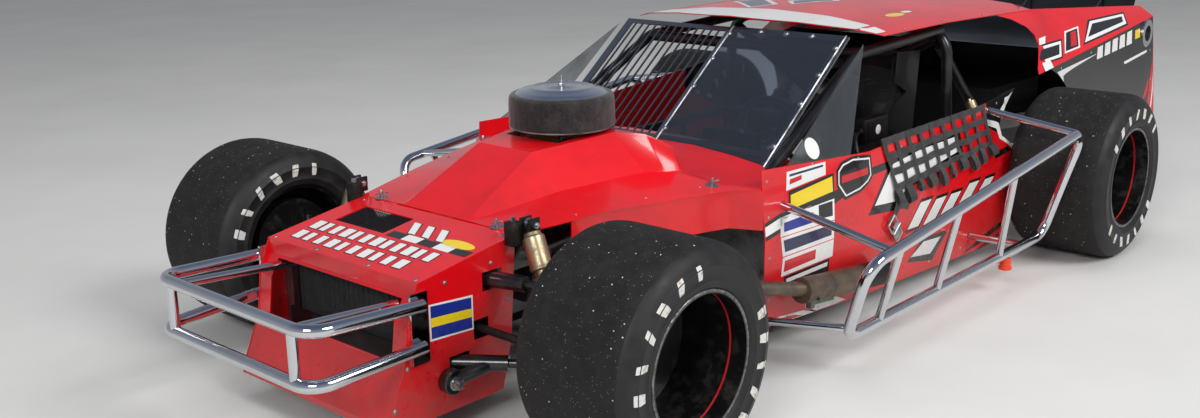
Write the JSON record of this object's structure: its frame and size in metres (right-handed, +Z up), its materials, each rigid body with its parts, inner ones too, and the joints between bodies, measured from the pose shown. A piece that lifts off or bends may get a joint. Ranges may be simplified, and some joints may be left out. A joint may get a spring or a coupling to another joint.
{
  "type": "open-wheel modified stock car",
  "caption": "Low open-wheel modified stock car with tube cage, sheet body, wide slicks, side bars and a raised hood scoop.",
  "frame": {"origin": "on the ground under the middle of the car's length and width", "axes": "+X to the nose, +Y to the driver's left side, +Z up"},
  "size_m": [4.7789, 2.416, 1.0346],
  "materials": {
    "frame_black": "satin black enamel",
    "sheet_aluminium": "plain sheet",
    "body_red": "gloss red",
    "body_black": "gloss black",
    "radiator_core": "dark finned core",
    "tinted_pane": "smoked polycarbonate",
    "trim_black": "satin black",
    "clear_pane": "clear polycarbonate",
    "bare_aluminium": "machined",
    "cell_black": "matte",
    "bar_chrome": "polished plate",
    "filter_cloth": "black filter cover",
    "engine_iron": "cast",
    "bare_steel": "bare",
    "pipe_steel": "heat browned",
    "seat_aluminium": "anodised dark",
    "grip_black": "stitched grip",
    "net_webbing": "nylon webbing",
    "arm_black": "powder coat",
    "damper_gold": "anodised body",
    "axle_iron": "cast",
    "knuckle_iron": "forged",
    "slick_rubber": "smooth tread",
    "rim_black": "gloss black steel"
  },
  "bodies": {
    "root": {"frame": "frame_black", "roll_cage": "frame_black", "main_hoop": "frame_black", "door_bars": "frame_black", "cage_stays": "frame_black", "floor_tub": "sheet_aluminium", "nose_top": "body_red", "nose_sides": "body_red", "front_valance": "body_red", "radiator": "radiator_core", "hood": "body_red", "fender_sides": "body_red", "cowl": "body_red", "side_panels": "body_red", "quarter_panels": "body_black", "roof": "body_red", "sail_panels": "body_red", "windshield": "tinted_pane", "windshield_frame": "trim_black", "vent_windows": "clear_pane", "rear_window": "clear_pane", "rear_deck": "body_black", "tail_panel": "body_black", "spoiler": "clear_pane", "spoiler_braces": "trim_black", "fuel_filler": "bare_aluminium", "fuel_cell": "cell_black", "front_bumper": "bar_chrome", "rear_bumper": "frame_black", "side_bars": "bar_chrome", "air_cleaner": "filter_cloth", "carburettor": "bare_aluminium", "engine": "engine_iron", "driveline": "bare_steel", "exhausts": "pipe_steel", "seat": "seat_aluminium", "steering_wheel": "grip_black", "window_net": "net_webbing", "front_arms": "arm_black", "coilovers": "damper_gold", "rear_housing": "axle_iron", "rear_links": "arm_black"},
    "knuckle_left": {"knuckle_left": "knuckle_iron"},
    "knuckle_right": {"knuckle_right": "knuckle_iron"},
    "steering_link": {"steering_link": "bare_steel"},
    "wheel_front_left": {"tyre_front_left": "slick_rubber", "rim_front_left": "rim_black"},
    "wheel_front_right": {"tyre_front_right": "slick_rubber", "rim_front_right": "rim_black"},
    "rear_wheels": {"tyre_rear_left": "slick_rubber", "rim_rear_left": "rim_black", "tyre_rear_right": "slick_rubber", "rim_rear_right": "rim_black"}
  },
  "joints": [
    {"name": "steer_left", "type": "hinge", "parent": "root", "child": "knuckle_left", "pos_m": [1.6485, 0.64, 0.331], "axis": [0, 0, 1], "range_deg": [-22, 22]},
    {"name": "steer_right", "type": "hinge", "parent": "root", "child": "knuckle_right", "pos_m": [1.6485, -0.64, 0.331], "axis": [0, 0, 1], "range_deg": [-22, 22]},
    {"name": "link_slide", "type": "slide", "parent": "root", "child": "steering_link", "axis": [0, 1, 0], "range_m": [-0.0465, 0.0465]},
    {"name": "spin_front_left", "type": "hinge", "parent": "knuckle_left", "child": "wheel_front_left", "pos_m": [1.6485, 0.897, 0.331], "axis": [0, 1, 0], "continuous": true},
    {"name": "spin_front_right", "type": "hinge", "parent": "knuckle_right", "child": "wheel_front_right", "pos_m": [1.6485, -0.897, 0.331], "axis": [0, 1, 0], "continuous": true},
    {"name": "spin_rear", "type": "hinge", "parent": "root", "child": "rear_wheels", "pos_m": [-1.0695, 0, 0.34], "axis": [0, 1, 0], "continuous": true}
  ],
  "couplings": [
    {"joint": "steer_right", "follows": "steer_left", "ratio": 1},
    {"joint": "link_slide", "follows": "steer_left", "m_per_rad": 0.12}
  ]
}
